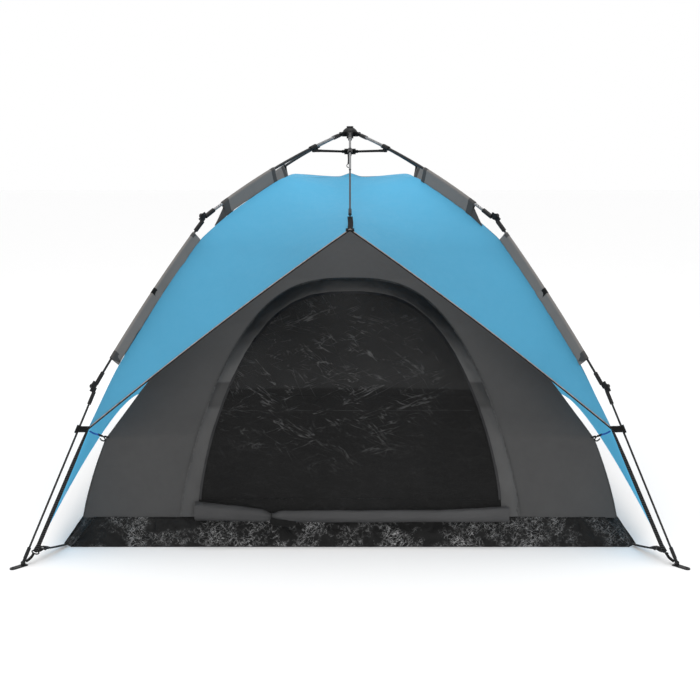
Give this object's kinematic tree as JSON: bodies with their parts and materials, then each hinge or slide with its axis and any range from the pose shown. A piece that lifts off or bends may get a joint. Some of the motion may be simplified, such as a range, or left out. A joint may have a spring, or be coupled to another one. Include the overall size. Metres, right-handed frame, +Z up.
{
  "type": "pop up tent",
  "caption": "Dome tent on an umbrella hub frame with folding jointed legs, a fly sheet hung below the poles, and an inner tent with an arched mesh door and a tub floor.",
  "frame": {"origin": "on the ground under the middle of the hub", "axes": "+Z up, the door faces -Y, +X to the right for someone facing the door"},
  "size_m": [2.2214, 2.4476, 1.453],
  "materials": {
    "steel": "satin",
    "glass_fibre": "gloss",
    "plastic": "matte",
    "fly_cloth": "woven, coated",
    "inner_cloth": "woven",
    "mesh": "open mesh",
    "tub_sheet": "glossy, crinkled",
    "webbing": "woven tape"
  },
  "bodies": {
    "hub": {"hub": "plastic", "hub_cap": "plastic", "fly": "fly_cloth", "straps": "webbing"},
    "runner": {"runner": "plastic", "pull_handle": "webbing"},
    "fl_upper": {"fl_upper_pole": "steel", "fl_clamp": "plastic", "fl_knee_1": "plastic"},
    "fl_mid": {"fl_mid_pole": "glass_fibre", "fl_mid_sockets": "plastic"},
    "fl_lower": {"fl_lower_pole": "glass_fibre", "fl_lower_socket": "plastic"},
    "fl_foot": {"fl_foot": "plastic"},
    "fl_strut": {"fl_strut": "plastic"},
    "fr_upper": {"fr_upper_pole": "steel", "fr_clamp": "plastic", "fr_knee_1": "plastic"},
    "fr_mid": {"fr_mid_pole": "glass_fibre", "fr_mid_sockets": "plastic"},
    "fr_lower": {"fr_lower_pole": "glass_fibre", "fr_lower_socket": "plastic"},
    "fr_foot": {"fr_foot": "plastic"},
    "fr_strut": {"fr_strut": "plastic"},
    "rr_upper": {"rr_upper_pole": "steel", "rr_clamp": "plastic", "rr_knee_1": "plastic"},
    "rr_mid": {"rr_mid_pole": "glass_fibre", "rr_mid_sockets": "plastic"},
    "rr_lower": {"rr_lower_pole": "glass_fibre", "rr_lower_socket": "plastic"},
    "rr_foot": {"rr_foot": "plastic"},
    "rr_strut": {"rr_strut": "plastic"},
    "rl_upper": {"rl_upper_pole": "steel", "rl_clamp": "plastic", "rl_knee_1": "plastic"},
    "rl_mid": {"rl_mid_pole": "glass_fibre", "rl_mid_sockets": "plastic"},
    "rl_lower": {"rl_lower_pole": "glass_fibre", "rl_lower_socket": "plastic"},
    "rl_foot": {"rl_foot": "plastic"},
    "rl_strut": {"rl_strut": "plastic"},
    "front_rib": {"front_rib": "steel", "front_rib_clamp": "plastic", "front_rib_hook": "plastic"},
    "front_rib_strut": {"front_rib_strut": "plastic"},
    "rear_rib": {"rear_rib": "steel", "rear_rib_clamp": "plastic", "rear_rib_hook": "plastic"},
    "rear_rib_strut": {"rear_rib_strut": "plastic"},
    "floor_front": {"floor_front": "tub_sheet"},
    "inner_front": {"inner_front_wall": "inner_cloth", "door_roll": "inner_cloth", "door_flap": "inner_cloth"},
    "floor_rear": {"floor_rear": "tub_sheet"},
    "inner_rear": {"inner_rear_wall": "inner_cloth"},
    "door_mesh": {"door_mesh": "mesh"},
    "inner_left": {"inner_left_wall": "inner_cloth"},
    "inner_right": {"inner_right_wall": "inner_cloth"}
  },
  "joints": [
    {"name": "fl_fold", "type": "hinge", "parent": "hub", "child": "fl_upper", "pos_m": [-0.034, -0.03666, 1.42], "axis": [0.7332, -0.68, 0], "range_deg": [0, 67.22], "deforming": ["fly", "straps", "inner_front_wall", "inner_rear_wall", "inner_left_wall", "inner_right_wall", "floor_front", "floor_rear", "door_mesh", "door_roll", "door_flap"]},
    {"name": "fl_knee_1_fold", "type": "hinge", "parent": "fl_upper", "child": "fl_mid", "pos_m": [-0.54271, -0.59839, 1.11541], "axis": [-0.7332, 0.68, 0], "range_deg": [0, 199.25]},
    {"name": "fl_knee_2_fold", "type": "hinge", "parent": "fl_mid", "child": "fl_lower", "pos_m": [-0.8809, -0.96966, 0.55566], "axis": [-0.7332, 0.68, 0], "range_deg": [0, 192.82]},
    {"name": "fl_foot_swivel", "type": "hinge", "parent": "fl_lower", "child": "fl_foot", "pos_m": [-1.07482, -1.18536, 0.011], "axis": [0.7332, -0.68, 0], "range_deg": [0, 60]},
    {"name": "fl_strut_turn", "type": "hinge", "parent": "fl_upper", "child": "fl_strut", "pos_m": [-0.1464, -0.15785, 1.35142], "axis": [-0.7332, 0.68, 0], "range_deg": [0, 152.58]},
    {"name": "fr_fold", "type": "hinge", "parent": "hub", "child": "fr_upper", "pos_m": [0.03317, -0.03742, 1.42], "axis": [0.7483, 0.6633, 0], "range_deg": [0, 67.22]},
    {"name": "fr_knee_1_fold", "type": "hinge", "parent": "fr_upper", "child": "fr_mid", "pos_m": [0.54258, -0.59851, 1.11541], "axis": [-0.7483, -0.6633, 0], "range_deg": [0, 199.25]},
    {"name": "fr_knee_2_fold", "type": "hinge", "parent": "fr_mid", "child": "fr_lower", "pos_m": [0.87907, -0.97132, 0.55566], "axis": [-0.7483, -0.6633, 0], "range_deg": [0, 192.82]},
    {"name": "fr_foot_swivel", "type": "hinge", "parent": "fr_lower", "child": "fr_foot", "pos_m": [1.07482, -1.18536, 0.011], "axis": [0.7483, 0.6633, 0], "range_deg": [0, 60]},
    {"name": "fr_strut_turn", "type": "hinge", "parent": "fr_upper", "child": "fr_strut", "pos_m": [0.14281, -0.1611, 1.35142], "axis": [-0.7483, -0.6633, 0], "range_deg": [0, 152.58]},
    {"name": "rr_fold", "type": "hinge", "parent": "hub", "child": "rr_upper", "pos_m": [0.034, 0.03666, 1.42], "axis": [-0.7332, 0.68, 0], "range_deg": [0, 67.22]},
    {"name": "rr_knee_1_fold", "type": "hinge", "parent": "rr_upper", "child": "rr_mid", "pos_m": [0.54271, 0.59839, 1.11541], "axis": [0.7332, -0.68, 0], "range_deg": [0, 199.25]},
    {"name": "rr_knee_2_fold", "type": "hinge", "parent": "rr_mid", "child": "rr_lower", "pos_m": [0.8809, 0.96966, 0.55566], "axis": [0.7332, -0.68, 0], "range_deg": [0, 192.82]},
    {"name": "rr_foot_swivel", "type": "hinge", "parent": "rr_lower", "child": "rr_foot", "pos_m": [1.07482, 1.18536, 0.011], "axis": [-0.7332, 0.68, 0], "range_deg": [0, 60]},
    {"name": "rr_strut_turn", "type": "hinge", "parent": "rr_upper", "child": "rr_strut", "pos_m": [0.1464, 0.15785, 1.35142], "axis": [0.7332, -0.68, 0], "range_deg": [0, 152.58]},
    {"name": "rl_fold", "type": "hinge", "parent": "hub", "child": "rl_upper", "pos_m": [-0.03317, 0.03742, 1.42], "axis": [-0.7483, -0.6633, 0], "range_deg": [0, 67.22]},
    {"name": "rl_knee_1_fold", "type": "hinge", "parent": "rl_upper", "child": "rl_mid", "pos_m": [-0.54258, 0.59851, 1.11541], "axis": [0.7483, 0.6633, 0], "range_deg": [0, 199.25]},
    {"name": "rl_knee_2_fold", "type": "hinge", "parent": "rl_mid", "child": "rl_lower", "pos_m": [-0.87907, 0.97132, 0.55566], "axis": [0.7483, 0.6633, 0], "range_deg": [0, 192.82]},
    {"name": "rl_foot_swivel", "type": "hinge", "parent": "rl_lower", "child": "rl_foot", "pos_m": [-1.07482, 1.18536, 0.011], "axis": [-0.7483, -0.6633, 0], "range_deg": [0, 60]},
    {"name": "rl_strut_turn", "type": "hinge", "parent": "rl_upper", "child": "rl_strut", "pos_m": [-0.14281, 0.1611, 1.35142], "axis": [0.7483, 0.6633, 0], "range_deg": [0, 152.58]},
    {"name": "front_rib_fold", "type": "hinge", "parent": "hub", "child": "front_rib", "pos_m": [0, -0.05, 1.42], "axis": [1, 0, 0], "range_deg": [0, 67.05]},
    {"name": "front_rib_strut_turn", "type": "hinge", "parent": "front_rib", "child": "front_rib_strut", "pos_m": [0, -0.20991, 1.33601], "axis": [-1, 0, 0], "range_deg": [0, 162.77]},
    {"name": "rear_rib_fold", "type": "hinge", "parent": "hub", "child": "rear_rib", "pos_m": [0, 0.05, 1.42], "axis": [-1, 0, 0], "range_deg": [0, 67.05]},
    {"name": "rear_rib_strut_turn", "type": "hinge", "parent": "rear_rib", "child": "rear_rib_strut", "pos_m": [0, 0.20991, 1.33601], "axis": [1, 0, 0], "range_deg": [0, 162.77]},
    {"name": "runner_slide", "type": "slide", "parent": "hub", "child": "runner", "axis": [0, 0, -1], "range_m": [0, 0.28194]},
    {"name": "floor_front_fold", "type": "hinge", "parent": "hub", "child": "floor_front", "pos_m": [0, 0, 0.0008], "axis": [-1, 0, 0], "range_deg": [0, 84]},
    {"name": "inner_front_fold", "type": "hinge", "parent": "floor_front", "child": "inner_front", "pos_m": [0, -0.965, 0.1], "axis": [-1, 0, 0], "range_deg": [0, 70]},
    {"name": "floor_rear_fold", "type": "hinge", "parent": "hub", "child": "floor_rear", "pos_m": [0, 0, 0.0008], "axis": [1, 0, 0], "range_deg": [0, 84]},
    {"name": "inner_rear_fold", "type": "hinge", "parent": "floor_rear", "child": "inner_rear", "pos_m": [0, 0.965, 0.1], "axis": [1, 0, 0], "range_deg": [0, 70]},
    {"name": "door_mesh_open", "type": "hinge", "parent": "inner_front", "child": "door_mesh", "pos_m": [0, -0.943, 0.15], "axis": [-1, 0, 0], "range_deg": [0, 70]},
    {"name": "inner_left_fold", "type": "hinge", "parent": "hub", "child": "inner_left", "pos_m": [-0.416, 0, 1.772], "axis": [0, -1, 0], "range_deg": [0, 28.8]},
    {"name": "inner_right_fold", "type": "hinge", "parent": "hub", "child": "inner_right", "pos_m": [0.416, 0, 1.772], "axis": [0, 1, 0], "range_deg": [0, 28.8]}
  ],
  "couplings": [
    {"joint": "fl_knee_1_fold", "follows": "fl_fold", "ratio": 2.9643},
    {"joint": "fl_knee_2_fold", "follows": "fl_fold", "ratio": 2.8686},
    {"joint": "fl_foot_swivel", "follows": "fl_fold", "ratio": 0.89262},
    {"joint": "fl_strut_turn", "follows": "fl_fold", "ratio": 2.2699},
    {"joint": "fr_fold", "follows": "fl_fold", "ratio": 1},
    {"joint": "fr_knee_1_fold", "follows": "fl_fold", "ratio": 2.9643},
    {"joint": "fr_knee_2_fold", "follows": "fl_fold", "ratio": 2.8686},
    {"joint": "fr_foot_swivel", "follows": "fl_fold", "ratio": 0.89262},
    {"joint": "fr_strut_turn", "follows": "fl_fold", "ratio": 2.2699},
    {"joint": "rr_fold", "follows": "fl_fold", "ratio": 1},
    {"joint": "rr_knee_1_fold", "follows": "fl_fold", "ratio": 2.9643},
    {"joint": "rr_knee_2_fold", "follows": "fl_fold", "ratio": 2.8686},
    {"joint": "rr_foot_swivel", "follows": "fl_fold", "ratio": 0.89262},
    {"joint": "rr_strut_turn", "follows": "fl_fold", "ratio": 2.2699},
    {"joint": "rl_fold", "follows": "fl_fold", "ratio": 1},
    {"joint": "rl_knee_1_fold", "follows": "fl_fold", "ratio": 2.9643},
    {"joint": "rl_knee_2_fold", "follows": "fl_fold", "ratio": 2.8686},
    {"joint": "rl_foot_swivel", "follows": "fl_fold", "ratio": 0.89262},
    {"joint": "rl_strut_turn", "follows": "fl_fold", "ratio": 2.2699},
    {"joint": "front_rib_fold", "follows": "fl_fold", "ratio": 0.99756},
    {"joint": "front_rib_strut_turn", "follows": "fl_fold", "ratio": 2.4216},
    {"joint": "rear_rib_fold", "follows": "fl_fold", "ratio": 0.99756},
    {"joint": "rear_rib_strut_turn", "follows": "fl_fold", "ratio": 2.4216},
    {"joint": "runner_slide", "follows": "fl_fold", "m_per_rad": 0.24032},
    {"joint": "floor_front_fold", "follows": "fl_fold", "ratio": 1.2497},
    {"joint": "inner_front_fold", "follows": "fl_fold", "ratio": 1.0414},
    {"joint": "floor_rear_fold", "follows": "fl_fold", "ratio": 1.2497},
    {"joint": "inner_rear_fold", "follows": "fl_fold", "ratio": 1.0414},
    {"joint": "inner_left_fold", "follows": "fl_fold", "ratio": 0.42846},
    {"joint": "inner_right_fold", "follows": "fl_fold", "ratio": 0.42846}
  ]
}
